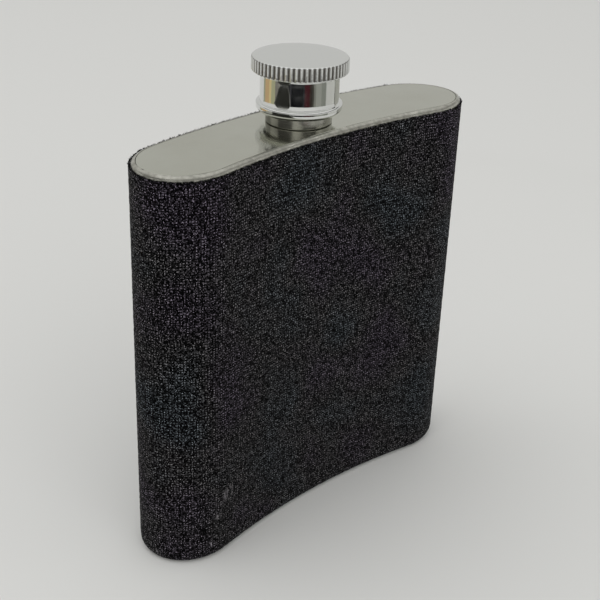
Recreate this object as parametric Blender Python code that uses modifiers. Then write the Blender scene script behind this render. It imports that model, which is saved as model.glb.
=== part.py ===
"""Hip flask: a kidney-shaped steel flask in a sleeve of glitter fabric, closed by a chromed screw cap.

Frame: +X runs along the width, +Z is up and the hollow side, which lies against the hip, faces -Y.
The origin is the middle of the flask's bounding box, on the surface that it stands on. Metres.
The turned pieces share one vertical axis, and their heights are measured from the top plate.
"""
import math

import bmesh
import bpy
import numpy as np
from mathutils import Matrix

MM = 0.001

# Steel body
STEEL_WIDTH = 91.3 * MM
STEEL_THICKNESS = 20.9 * MM
MID_RADIUS = 180.6 * MM        # bend of the body, at the middle of its thickness
END_LENGTH = 12.3 * MM         # half axis of the elliptic ends, along the width
PLATE_HEIGHT = 92.4 * MM       # upper face of the top plate
WALL = 0.6 * MM
RIM_RADIUS = 1.1 * MM          # rounding round the top
FOOT_RADIUS = 2.3 * MM         # rounding round the bottom
PLATE_THICKNESS = 0.8 * MM
SEAM_GAP = 0.15 * MM           # open joint between neighbouring pieces

# Fabric sleeve
WRAP_GAP = 0.1 * MM
WRAP_THICKNESS = 0.3 * MM
WRAP_FOOT_ANGLE = math.radians(55.0)   # how far the sleeve follows the foot's rounding

# Neck, heights from the top plate
BORE_RADIUS = 5.6 * MM
COLLAR_RADIUS = 7.3 * MM
COLLAR_HEIGHT = 3.2 * MM
NECK_ROOT_RADIUS = 6.55 * MM
NECK_CREST_RADIUS = 7.15 * MM
NECK_HEIGHT = 11.0 * MM
SPIGOT_RADIUS = 6.5 * MM
SPIGOT_DEPTH = 1.8 * MM

# Screw thread, right-handed, heights from the top plate
LEAD = 3.0 * MM
NECK_THREAD_START = 4.4 * MM
NECK_THREAD_TURNS = 1.8
LINER_THREAD_START_TURN = 0.65         # turns past the start of the neck's thread
LINER_THREAD_TURNS = 1.75
LINER_CREST_RADIUS = 6.8 * MM
LINER_ROOT_RADIUS = 7.35 * MM
TOOTH_ROOT_WIDTH = 1.9 * MM
TOOTH_CREST_WIDTH = 0.8 * MM
TOOTH_BITE = 0.2 * MM                  # depth of a tooth's root inside the wall that carries it

# Cap, heights from the top plate
CAP_FOOT = 2.5 * MM
CAP_TOP = 14.4 * MM
HEAD_FOOT = 11.2 * MM
HEAD_RADIUS = 10.57 * MM
BARREL_RADIUS = 8.6 * MM
BEAD_RADIUS = 9.43 * MM
BEAD_TOP = 4.62 * MM
SHELL_BORE_RADIUS = 8.05 * MM
SHELL_LIP_RADIUS = 7.6 * MM
SHELL_LIP_HEIGHT = 1.2 * MM
ROOF = 1.0 * MM
LINER_RADIUS = 7.9 * MM
LINER_FOOT = 4.0 * MM
LINER_ROOF = 0.95 * MM
GASKET_RADIUS = 6.95 * MM
GASKET_HOLE = 4.0 * MM
GASKET_THICKNESS = 1.0 * MM
RIDGES = 60
RIDGE_GROOVE_RADIUS = 0.56 * MM
RIDGE_GROOVE_DEPTH = 0.28 * MM

# Fineness
ARC_STEPS = 14
END_STEPS = 16
TURNED_STEPS = 60
THREAD_STEPS_PER_TURN = 30
MERGE_DISTANCE = 0.00001


def clear_scene():
    """Remove every object, so that the script always starts from an empty scene."""
    for item in list(bpy.data.objects):
        bpy.data.objects.remove(item, do_unlink=True)


def new_collection(name):
    """Return an empty collection of this name, linked to the scene."""
    collection = bpy.data.collections.get(name) or bpy.data.collections.new(name)
    if collection.name not in bpy.context.scene.collection.children:
        bpy.context.scene.collection.children.link(collection)
    return collection


def finish(name, colour, roughness, metallic):
    """Return a Principled material."""
    material = bpy.data.materials.new(name)
    material.use_nodes = True
    shader = material.node_tree.nodes["Principled BSDF"]
    shader.inputs["Base Color"].default_value = (*colour, 1.0)
    shader.inputs["Roughness"].default_value = roughness
    shader.inputs["Metallic"].default_value = metallic
    return material


def add_object(name, data, collection, material=None):
    """Link a new object to a collection and give it its material."""
    item = bpy.data.objects.new(name, data)
    collection.objects.link(item)
    if material:
        data.materials.append(material)
    return item


def hide_guide(item):
    """Keep a cutter or a guide curve out of the model."""
    item.hide_render = True
    item.display_type = "WIRE"


def arc(centre, radius, start, stop, steps):
    """Return points of an arc in the plane of a profile, from angle start to angle stop."""
    return [
        (centre[0] + radius * math.cos(angle), centre[1] + radius * math.sin(angle))
        for angle in np.linspace(start, stop, steps + 1)
    ]


# ---------------------------------------------------------------- kidney outline

def centred_outline():
    """Return the steel body's outline, anticlockwise from above, about the middle of its mid arc.

    Two arcs about one centre make the long sides, and half an ellipse makes each end.
    """
    half = STEEL_THICKNESS / 2
    swing = math.asin((STEEL_WIDTH / 2 - END_LENGTH) / MID_RADIUS)
    angles = np.linspace(-swing, swing, ARC_STEPS + 1)
    back = np.column_stack([np.sin(angles), np.cos(angles)]) * (MID_RADIUS + half)
    front = np.column_stack([np.sin(angles), np.cos(angles)])[::-1] * (MID_RADIUS - half)
    turn = np.linspace(0.0, math.pi, END_STEPS + 1)[1:-1, None]
    ends = []
    for side in (1, -1):
        radial = np.array([side * math.sin(swing), math.cos(swing)])
        tangent = np.array([side * math.cos(swing), -math.sin(swing)])
        end = radial * (MID_RADIUS + half * np.cos(turn)) + tangent * END_LENGTH * np.sin(turn)
        ends.append(end)
    points = np.vstack([back, ends[0], front, ends[1][::-1]])
    points[:, 1] -= MID_RADIUS
    return points[::-1]


def moved_outwards(points, distance):
    """Return a closed anticlockwise outline moved outwards by a distance, along its normals."""
    along = np.roll(points, -1, axis=0) - np.roll(points, 1, axis=0)
    normals = np.column_stack([along[:, 1], -along[:, 0]])
    normals /= np.linalg.norm(normals, axis=1, keepdims=True)
    return points + normals * distance


def axis_offset():
    """Return the y of the neck's axis, which puts the sleeved body's middle at y = 0."""
    outer = moved_outwards(centred_outline(), WRAP_GAP + WRAP_THICKNESS)[:, 1]
    return -(outer.max() + outer.min()) / 2


AXIS_Y = axis_offset()


def kidney_outline(distance=0.0):
    """Return the body's outline in its place, moved outwards by a distance."""
    return moved_outwards(centred_outline(), distance) + np.array([0.0, AXIS_Y])


# ---------------------------------------------------------------- ways of making a solid

def add_spline(curve, points):
    """Add a closed polyline to a flat curve."""
    spline = curve.splines.new("POLY")
    spline.points.add(len(points) - 1)
    for point, (x, y) in zip(spline.points, points):
        point.co = (x, y, 0.0, 1.0)
    spline.use_cyclic_u = True


def swept_ring(name, profile, collection, guides, material):
    """Sweep a closed profile of (distance outwards, height) round the steel outline."""
    section = bpy.data.curves.new(name + "_section", "CURVE")
    section.dimensions = "2D"
    section.fill_mode = "NONE"
    add_spline(section, [(-distance, height) for distance, height in reversed(profile)])
    section_item = add_object(name + "_section", section, guides)
    hide_guide(section_item)
    path = bpy.data.curves.new(name, "CURVE")
    path.dimensions = "2D"
    path.fill_mode = "NONE"
    add_spline(path, kidney_outline())
    path.bevel_mode = "OBJECT"
    path.bevel_object = section_item
    return add_object(name, path, collection, material)


def flat_plate(name, outlines, top, thickness, collection, material):
    """Extrude a flat outline, whose inner splines are holes, into a plate under a height."""
    curve = bpy.data.curves.new(name, "CURVE")
    curve.dimensions = "2D"
    curve.fill_mode = "BOTH"
    curve.extrude = thickness / 2
    for outline in outlines:
        add_spline(curve, outline)
    item = add_object(name, curve, collection, material)
    item.location.z = top - thickness / 2
    weld = item.modifiers.new("Weld", "WELD")
    weld.merge_threshold = MERGE_DISTANCE
    return item


def turned(name, profile, closed, collection, material):
    """Turn a profile of (radius, height), run down its outer side, about the neck's axis."""
    mesh = bpy.data.meshes.new(name)
    edges = [(index, index + 1) for index in range(len(profile) - 1)]
    if closed:
        edges.append((len(profile) - 1, 0))
    mesh.from_pydata([(radius, 0.0, height) for radius, height in profile], edges, [])
    item = add_object(name, mesh, collection, material)
    item.location = (0.0, AXIS_Y, PLATE_HEIGHT)
    screw = item.modifiers.new("Turn", "SCREW")
    screw.axis = "Z"
    screw.angle = 2 * math.pi
    screw.steps = TURNED_STEPS
    screw.render_steps = TURNED_STEPS
    screw.use_merge_vertices = True
    screw.merge_threshold = MERGE_DISTANCE
    screw.use_smooth_shade = True
    return item


def thread_ridge(name, root_radius, crest_radius, start_turn, turns, start_height, guides):
    """Make the solid ridge of a right-hand thread.

    A tapered tooth face is spun up the helix. The root is where the tooth meets the wall that
    carries it, and the tooth bites a little into that wall.
    """
    bite = -TOOTH_BITE if crest_radius > root_radius else TOOTH_BITE
    half_root = TOOTH_ROOT_WIDTH / 2
    half_crest = TOOTH_CREST_WIDTH / 2
    corners = [
        (root_radius + bite, -half_root),
        (crest_radius, -half_crest),
        (crest_radius, half_crest),
        (root_radius + bite, half_root),
    ]
    if crest_radius < root_radius:
        corners.reverse()
    height = start_height + LEAD * start_turn
    turn = 2 * math.pi * start_turn
    mesh = bpy.data.meshes.new(name)
    shape = bmesh.new()
    verts = [
        shape.verts.new((radius * math.cos(turn), radius * math.sin(turn), height + rise))
        for radius, rise in corners
    ]
    face = shape.faces.new(verts)
    steps = round(turns * THREAD_STEPS_PER_TURN)
    bmesh.ops.spin(
        shape,
        geom=[face, *face.edges, *verts],
        cent=(0.0, 0.0, 0.0),
        axis=(0.0, 0.0, 1.0),
        dvec=(0.0, 0.0, LEAD * turns / steps),
        angle=2 * math.pi * turns,
        steps=steps,
    )
    bmesh.ops.recalc_face_normals(shape, faces=shape.faces)
    shape.to_mesh(mesh)
    shape.free()
    item = add_object(name, mesh, guides)
    item.location = (0.0, AXIS_Y, PLATE_HEIGHT)
    hide_guide(item)
    return item


def add_boolean(item, other, operation):
    """Join another object to this one, or cut it away."""
    modifier = item.modifiers.new(operation.title(), "BOOLEAN")
    modifier.operation = operation
    modifier.solver = "EXACT"
    modifier.object = other


# ---------------------------------------------------------------- body

def make_body_wall(parts, guides, steel):
    """Tube of sheet steel with a hemmed, rounded rim and a turned-in foot."""
    hem = RIM_RADIUS + WALL
    inner_foot = FOOT_RADIUS - WALL
    quarter = math.pi / 2
    profile = [
        *arc((-RIM_RADIUS, PLATE_HEIGHT - RIM_RADIUS), RIM_RADIUS, quarter, 0.0, 4),
        *arc((-FOOT_RADIUS, FOOT_RADIUS), FOOT_RADIUS, 0.0, -quarter, 5),
        *arc((-FOOT_RADIUS, FOOT_RADIUS), inner_foot, -quarter, 0.0, 3),
        (-WALL, PLATE_HEIGHT - hem),
        (-RIM_RADIUS, PLATE_HEIGHT - RIM_RADIUS),
    ]
    return swept_ring("body_wall", profile, parts, guides, steel)


def make_glitter_wrap(parts, guides, fabric):
    """Sleeve of fabric from just under the rim to the underside of the foot's rounding."""
    top = PLATE_HEIGHT - RIM_RADIUS
    centre = (-FOOT_RADIUS, FOOT_RADIUS)
    inner_radius = FOOT_RADIUS + WRAP_GAP
    outer_radius = inner_radius + WRAP_THICKNESS
    profile = [
        (WRAP_GAP + WRAP_THICKNESS, top),
        *arc(centre, outer_radius, 0.0, -WRAP_FOOT_ANGLE, 4),
        *arc(centre, inner_radius, -WRAP_FOOT_ANGLE, 0.0, 4),
        (WRAP_GAP, top),
    ]
    return swept_ring("glitter_wrap", profile, parts, guides, fabric)


def make_top_plate(parts, steel):
    """Flat plate inside the rim, with the hole for the neck."""
    outline = kidney_outline(-RIM_RADIUS - SEAM_GAP)
    turns = np.linspace(0.0, 2 * math.pi, TURNED_STEPS, endpoint=False)
    hole = np.column_stack([np.cos(turns), np.sin(turns)]) * (SPIGOT_RADIUS + SEAM_GAP)
    hole += np.array([0.0, AXIS_Y])
    return flat_plate("top_plate", [outline, hole], PLATE_HEIGHT, PLATE_THICKNESS, parts, steel)


def make_base_plate(parts, steel):
    """Flat plate inside the turned-in foot, which the flask stands on."""
    outline = kidney_outline(-FOOT_RADIUS - SEAM_GAP)
    return flat_plate("base_plate", [outline], PLATE_THICKNESS, PLATE_THICKNESS, parts, steel)


def make_neck(parts, guides, steel):
    """Turned spout: collar on the plate, threaded stem above, spigot through the plate."""
    lip = 0.3 * MM
    profile = [
        (BORE_RADIUS + lip, NECK_HEIGHT),
        (NECK_ROOT_RADIUS - lip, NECK_HEIGHT),
        (NECK_ROOT_RADIUS, NECK_HEIGHT - lip),
        (NECK_ROOT_RADIUS, COLLAR_HEIGHT + lip),
        (COLLAR_RADIUS - lip, COLLAR_HEIGHT),
        (COLLAR_RADIUS, COLLAR_HEIGHT - lip),
        (COLLAR_RADIUS, SEAM_GAP),
        (SPIGOT_RADIUS, SEAM_GAP),
        (SPIGOT_RADIUS, -SPIGOT_DEPTH),
        (BORE_RADIUS, -SPIGOT_DEPTH),
        (BORE_RADIUS, NECK_HEIGHT - lip),
    ]
    neck = turned("neck", profile, True, parts, steel)
    ridge = thread_ridge(
        "neck_thread", NECK_ROOT_RADIUS, NECK_CREST_RADIUS, 0.0, NECK_THREAD_TURNS,
        NECK_THREAD_START, guides,
    )
    add_boolean(neck, ridge, "UNION")
    return neck


# ---------------------------------------------------------------- cap

def make_ridge_cutter(guides):
    """Ring of round bars that cut the straight grip grooves into the cap's head."""
    shape = bmesh.new()
    centre = HEAD_RADIUS + RIDGE_GROOVE_RADIUS - RIDGE_GROOVE_DEPTH
    height = CAP_TOP - HEAD_FOOT
    half_facet = Matrix.Rotation(math.pi / 12, 3, "Z")
    for index in range(RIDGES):
        turn = 2 * math.pi * (index + 0.5) / RIDGES
        bar = bmesh.ops.create_cone(
            shape, cap_ends=True, segments=12, radius1=RIDGE_GROOVE_RADIUS,
            radius2=RIDGE_GROOVE_RADIUS, depth=height + 1 * MM,
        )["verts"]
        bmesh.ops.rotate(shape, verts=bar, matrix=half_facet)
        bmesh.ops.translate(shape, verts=bar, vec=(centre, 0.0, (CAP_TOP + HEAD_FOOT) / 2))
        bmesh.ops.rotate(shape, verts=bar, matrix=Matrix.Rotation(turn, 3, "Z"))
    mesh = bpy.data.meshes.new("ridge_cutter")
    shape.to_mesh(mesh)
    shape.free()
    item = add_object("ridge_cutter", mesh, guides)
    item.location = (0.0, AXIS_Y, PLATE_HEIGHT)
    hide_guide(item)
    return item


def make_cap_shell(parts, guides, chrome):
    """Chromed shell: knurled head, plain barrel, and a bead round the foot."""
    edge = 0.35 * MM
    bead_height = BEAD_TOP - CAP_FOOT
    lip_top = CAP_FOOT + SHELL_LIP_HEIGHT
    profile = [
        (0.0, CAP_TOP),
        (HEAD_RADIUS - edge, CAP_TOP),
        (HEAD_RADIUS, CAP_TOP - edge),
        (HEAD_RADIUS, HEAD_FOOT + edge),
        (HEAD_RADIUS - edge, HEAD_FOOT),
        (BARREL_RADIUS, HEAD_FOOT),
        (BARREL_RADIUS, BEAD_TOP),
        (BEAD_RADIUS - 0.2 * MM, BEAD_TOP - 0.12 * bead_height),
        (BEAD_RADIUS, BEAD_TOP - 0.25 * bead_height),
        (BEAD_RADIUS - 0.2 * MM, BEAD_TOP - 0.65 * bead_height),
        (BARREL_RADIUS, CAP_FOOT),
        (SHELL_LIP_RADIUS, CAP_FOOT),
        (SHELL_LIP_RADIUS, lip_top),
        (SHELL_BORE_RADIUS, lip_top),
        (SHELL_BORE_RADIUS, CAP_TOP - ROOF),
        (0.0, CAP_TOP - ROOF),
    ]
    shell = turned("cap_shell", profile, False, parts, chrome)
    add_boolean(shell, make_ridge_cutter(guides), "DIFFERENCE")
    return shell


def make_cap_liner(parts, guides, plastic):
    """Plastic cup inside the shell, which carries the cap's thread."""
    top = CAP_TOP - ROOF - SEAM_GAP
    profile = [
        (0.0, top),
        (LINER_RADIUS, top),
        (LINER_RADIUS, LINER_FOOT),
        (LINER_ROOT_RADIUS, LINER_FOOT),
        (LINER_ROOT_RADIUS, top - LINER_ROOF),
        (0.0, top - LINER_ROOF),
    ]
    liner = turned("cap_liner", profile, False, parts, plastic)
    ridge = thread_ridge(
        "liner_thread", LINER_ROOT_RADIUS, LINER_CREST_RADIUS, LINER_THREAD_START_TURN,
        LINER_THREAD_TURNS, NECK_THREAD_START - LEAD / 2, guides,
    )
    add_boolean(liner, ridge, "UNION")
    return liner


def make_cap_gasket(parts, rubber):
    """Washer between the liner's roof and the lip of the neck."""
    top = NECK_HEIGHT + SEAM_GAP + GASKET_THICKNESS
    profile = [
        (GASKET_HOLE, top),
        (GASKET_RADIUS, top),
        (GASKET_RADIUS, top - GASKET_THICKNESS),
        (GASKET_HOLE, top - GASKET_THICKNESS),
    ]
    return turned("cap_gasket", profile, True, parts, rubber)


def place_under_empty(items, name, collection):
    """Parent the pieces that turn about the neck's axis to one empty on that axis."""
    empty = bpy.data.objects.new(name, None)
    empty.location = (0.0, AXIS_Y, PLATE_HEIGHT)
    collection.objects.link(empty)
    for item in items:
        item.parent = empty
        item.location = (0.0, 0.0, 0.0)


def main():
    """Build the flask."""
    clear_scene()
    parts = new_collection("hip_flask")
    guides = new_collection("cutters")

    polished = finish("polished_steel", (0.58, 0.59, 0.55), 0.18, 1.0)
    plain = finish("plain_steel", (0.55, 0.55, 0.53), 0.35, 1.0)
    fabric = finish("glitter_fabric", (0.015, 0.014, 0.017), 0.75, 0.0)
    chrome = finish("chrome_plate", (0.75, 0.76, 0.75), 0.05, 1.0)
    plastic = finish("natural_plastic", (0.72, 0.71, 0.67), 0.45, 0.0)
    rubber = finish("white_silicone", (0.78, 0.77, 0.74), 0.6, 0.0)

    make_body_wall(parts, guides, plain)
    make_glitter_wrap(parts, guides, fabric)
    make_top_plate(parts, polished)
    make_base_plate(parts, plain)
    make_neck(parts, guides, polished)
    cap_pieces = [
        make_cap_shell(parts, guides, chrome),
        make_cap_liner(parts, guides, plastic),
        make_cap_gasket(parts, rubber),
    ]
    place_under_empty(cap_pieces, "cap_axis", parts)


main()
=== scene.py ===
"""Hip flask in a sleeve of black glitter fabric with a chromed screw cap, dressed on its frame.

The welded steel vessel, the fabric sleeve and the screw cap are three sub-assemblies. Each is a class
that works its surfaces out with numpy, and each finish is a small class named for the real material.
Everything is in metres, with +Z up and the hollow side of the flask facing -Y.
"""
import logging
import math
from dataclasses import dataclass
from enum import Enum

import bpy
import numpy as np
from mathutils import Matrix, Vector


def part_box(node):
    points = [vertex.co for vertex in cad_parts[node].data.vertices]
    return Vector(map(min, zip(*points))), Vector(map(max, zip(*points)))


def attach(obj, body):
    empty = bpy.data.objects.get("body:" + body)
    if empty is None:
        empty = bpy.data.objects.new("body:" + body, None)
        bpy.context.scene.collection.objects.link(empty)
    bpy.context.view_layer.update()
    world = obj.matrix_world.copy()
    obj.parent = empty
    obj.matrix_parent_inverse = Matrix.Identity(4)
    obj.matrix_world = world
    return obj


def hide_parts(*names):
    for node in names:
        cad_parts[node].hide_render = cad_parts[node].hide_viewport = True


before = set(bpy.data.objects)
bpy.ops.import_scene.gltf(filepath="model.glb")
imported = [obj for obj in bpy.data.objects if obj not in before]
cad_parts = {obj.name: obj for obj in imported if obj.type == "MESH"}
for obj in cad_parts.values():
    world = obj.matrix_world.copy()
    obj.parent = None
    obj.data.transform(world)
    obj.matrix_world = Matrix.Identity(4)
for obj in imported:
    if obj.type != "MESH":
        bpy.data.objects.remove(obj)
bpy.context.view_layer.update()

MM = 0.001
TURN = 2.0 * math.pi
LOG = logging.getLogger("hip_flask")


class Body(Enum):
    """Rigid bodies of the frame."""

    FLASK = "flask"
    SEAL = "seal"
    CAP = "cap"


# ------------------------------------------------------------------ colours and nodes

def linear(colour: str) -> tuple[float, float, float, float]:
    """Turn an sRGB hex colour into linear RGBA.

    Args:
        colour: Six hex digits, such as "a0a296".

    Returns:
        The linear red, green and blue with an alpha of one.
    """
    parts = [int(colour[start:start + 2], 16) / 255.0 for start in (0, 2, 4)]
    bent = [part / 12.92 if part <= 0.04045 else ((part + 0.055) / 1.055) ** 2.4 for part in parts]
    return (*bent, 1.0)


def add_node(
    tree: bpy.types.NodeTree, kind: str, settings: dict | None = None, inputs: dict | None = None
) -> bpy.types.Node:
    """Add a node to a tree.

    Args:
        tree: The node tree.
        kind: The node's type name.
        settings: Its own properties, by name.
        inputs: Values or sockets to link, by input name or number.

    Returns:
        The new node.
    """
    node = tree.nodes.new(kind)
    for name, value in (settings or {}).items():
        setattr(node, name, value)
    for name, value in (inputs or {}).items():
        if isinstance(value, bpy.types.NodeSocket):
            tree.links.new(value, node.inputs[name])
        else:
            node.inputs[name].default_value = value
    return node


def math_node(tree: bpy.types.NodeTree, operation: str, *values) -> bpy.types.NodeSocket:
    """Add one sum of a formula and return its result."""
    settings = {"operation": operation}
    return add_node(tree, "ShaderNodeMath", settings, dict(enumerate(values))).outputs[0]


@dataclass(frozen=True)
class Finish:
    """A surface finish, which makes its material on demand.

    Attributes:
        name: The material's name.
        slot: The record's material slot that the finish belongs to; nothing in this script reads it.
    """

    name: str
    slot: str

    def material(self) -> bpy.types.Material:
        """Return the finish's material, made once and then shared.

        Returns:
            The material.
        """
        found = bpy.data.materials.get(self.name)
        if found:
            return found
        material = bpy.data.materials.new(self.name)
        material.use_nodes = True
        tree = material.node_tree
        self.dress(tree, tree.nodes["Principled BSDF"])
        return material

    def dress(self, tree: bpy.types.NodeTree, shader: bpy.types.Node) -> None:
        """Set the shader's sockets and add the finish's patterns.

        Args:
            tree: The material's node tree.
            shader: Its Principled shader.
        """
        raise NotImplementedError


@dataclass(frozen=True)
class PolishedSteel(Finish):
    """Stainless steel sheet, buffed flat with a soft wheel.

    Buffing leaves a soft mirror, with faint straight hairlines in one direction and cloudy patches
    where the wheel stayed longer, which are a shade darker and duller. Real hairlines are a few
    hundredths of a millimetre apart; they are drawn further apart so that they show.
    """

    colour: str = "c0c1b6"
    cloudy: str = "b9b9ad"
    roughness: float = 0.12
    cloud_size: float = 14 * MM
    hairline: float = 0.12 * MM
    hairline_depth: float = 0.0012 * MM

    def dress(self, tree: bpy.types.NodeTree, shader: bpy.types.Node) -> None:
        """Mirror steel with cloudy roughness and hairlines along the width.

        Args:
            tree: The material's node tree.
            shader: Its Principled shader.
        """
        place = add_node(tree, "ShaderNodeTexCoord").outputs["Object"]
        cloud = add_node(tree, "ShaderNodeTexNoise", None, {
            "Vector": place, "Scale": 1.0 / self.cloud_size, "Detail": 4.0,
        }).outputs["Fac"]
        rough = add_node(tree, "ShaderNodeMapRange", None, {
            "Value": cloud, "From Min": 0.3, "From Max": 0.7,
            "To Min": self.roughness * 0.75, "To Max": self.roughness * 1.35,
        }).outputs[0]
        stretched = add_node(tree, "ShaderNodeMapping", None, {
            "Vector": place, "Scale": (0.03, 1.0, 0.4),
        }).outputs[0]
        lines = add_node(tree, "ShaderNodeTexNoise", None, {
            "Vector": stretched, "Scale": 1.0 / self.hairline, "Detail": 2.0,
        }).outputs["Fac"]
        bump = add_node(tree, "ShaderNodeBump", None, {
            "Height": lines, "Strength": 1.0, "Distance": self.hairline_depth,
        }).outputs[0]
        tone = add_node(tree, "ShaderNodeValToRGB", None, {"Fac": cloud})
        stops = tone.color_ramp.elements
        stops[0].position, stops[0].color = 0.3, linear(self.colour)
        stops[1].position, stops[1].color = 0.7, linear(self.cloudy)
        tree.links.new(tone.outputs[0], shader.inputs["Base Color"])
        tree.links.new(rough, shader.inputs["Roughness"])
        tree.links.new(bump, shader.inputs["Normal"])
        shader.inputs["Metallic"].default_value = 1.0


@dataclass(frozen=True)
class TurnedSteel(Finish):
    """Stainless steel cut on a lathe.

    The tool leaves fine rings round the axis, one for each turn of its feed, which draw the
    reflections out into short vertical streaks. Its colour is darker in tall patches round the
    axis.
    """

    colour: str = "cfcec6"
    tint: str = "7d7c74"
    tint_size: float = 6.0 * MM
    roughness: float = 0.21
    feed: float = 0.11 * MM
    ring_depth: float = 0.0015 * MM

    def dress(self, tree: bpy.types.NodeTree, shader: bpy.types.Node) -> None:
        """Bright steel with feed rings stacked along Z, tinted in tall patches.

        Args:
            tree: The material's node tree.
            shader: Its Principled shader.
        """
        place = add_node(tree, "ShaderNodeTexCoord").outputs["Object"]
        flat = add_node(tree, "ShaderNodeMapping", None, {
            "Vector": place, "Scale": (0.02, 0.02, 1.0),
        }).outputs[0]
        rings = add_node(tree, "ShaderNodeTexNoise", None, {
            "Vector": flat, "Scale": 1.0 / self.feed, "Detail": 1.0,
        }).outputs["Fac"]
        bump = add_node(tree, "ShaderNodeBump", None, {
            "Height": rings, "Strength": 1.0, "Distance": self.ring_depth,
        }).outputs[0]
        rough = add_node(tree, "ShaderNodeMapRange", None, {
            "Value": rings, "To Min": self.roughness * 0.7, "To Max": self.roughness * 1.4,
        }).outputs[0]
        tall = add_node(tree, "ShaderNodeMapping", None, {
            "Vector": place, "Scale": (1.0, 1.0, 0.25),
        }).outputs[0]
        patches = add_node(tree, "ShaderNodeTexNoise", None, {
            "Vector": tall, "Scale": 1.0 / self.tint_size, "Detail": 1.0,
        }).outputs["Fac"]
        # the colour is darker in tall patches round the axis
        darkening = add_node(tree, "ShaderNodeMapRange", {"interpolation_type": "SMOOTHSTEP"}, {
            "Value": patches, "From Min": 0.42, "From Max": 0.58,
        }).outputs[0]
        colour = add_node(tree, "ShaderNodeMix", {"data_type": "RGBA"}, {
            "Factor": darkening, 6: linear(self.tint), 7: linear(self.colour),
        }).outputs[2]
        tree.links.new(colour, shader.inputs["Base Color"])
        tree.links.new(rough, shader.inputs["Roughness"])
        tree.links.new(bump, shader.inputs["Normal"])
        shader.inputs["Metallic"].default_value = 1.0


@dataclass(frozen=True)
class ChromePlate(Finish):
    """Bright chromium plated over polished nickel.

    The plating is a mirror. Its thickness varies a little, so straight reflections waver, and
    handling has left a faint haze of wipe marks. The piece's groove attribute holds painted shade:
    it darkens the plating down in the grip's grooves and makes it a little rougher there.
    """

    colour: str = "dfe0de"
    groove_shade_colour: str = "48423b"
    roughness: float = 0.035
    ripple_size: float = 1.6 * MM
    ripple_depth: float = 0.007 * MM
    haze_size: float = 3.0 * MM
    groove_roughness: float = 0.16

    def dress(self, tree: bpy.types.NodeTree, shader: bpy.types.Node) -> None:
        """Mirror with a shallow ripple and patches of haze.

        Args:
            tree: The material's node tree.
            shader: Its Principled shader.
        """
        place = add_node(tree, "ShaderNodeTexCoord").outputs["Object"]
        ripple = add_node(tree, "ShaderNodeTexNoise", None, {
            "Vector": place, "Scale": 1.0 / self.ripple_size, "Detail": 2.0, "Roughness": 0.4,
        }).outputs["Fac"]
        haze = add_node(tree, "ShaderNodeTexNoise", None, {
            "Vector": place, "Scale": 1.0 / self.haze_size, "Detail": 6.0,
        }).outputs["Fac"]
        rough = add_node(tree, "ShaderNodeMapRange", None, {
            "Value": haze, "From Min": 0.45, "From Max": 0.75,
            "To Min": self.roughness, "To Max": self.roughness * 3.0,
        }).outputs[0]
        bump = add_node(tree, "ShaderNodeBump", None, {
            "Height": ripple, "Strength": 1.0, "Distance": self.ripple_depth,
        }).outputs[0]
        # painted shade: the groove attribute darkens the chrome and roughens it down in the grip's
        # grooves
        groove_shade = add_node(tree, "ShaderNodeAttribute", {"attribute_name": "groove_shade"}).outputs["Fac"]
        rough = math_node(tree, "MULTIPLY_ADD", groove_shade, self.groove_roughness, rough)
        colour = add_node(tree, "ShaderNodeMix", {"data_type": "RGBA"}, {
            "Factor": groove_shade, 6: linear(self.colour), 7: linear(self.groove_shade_colour),
        }).outputs[2]
        tree.links.new(colour, shader.inputs["Base Color"])
        tree.links.new(rough, shader.inputs["Roughness"])
        tree.links.new(bump, shader.inputs["Normal"])
        shader.inputs["Metallic"].default_value = 1.0


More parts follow.
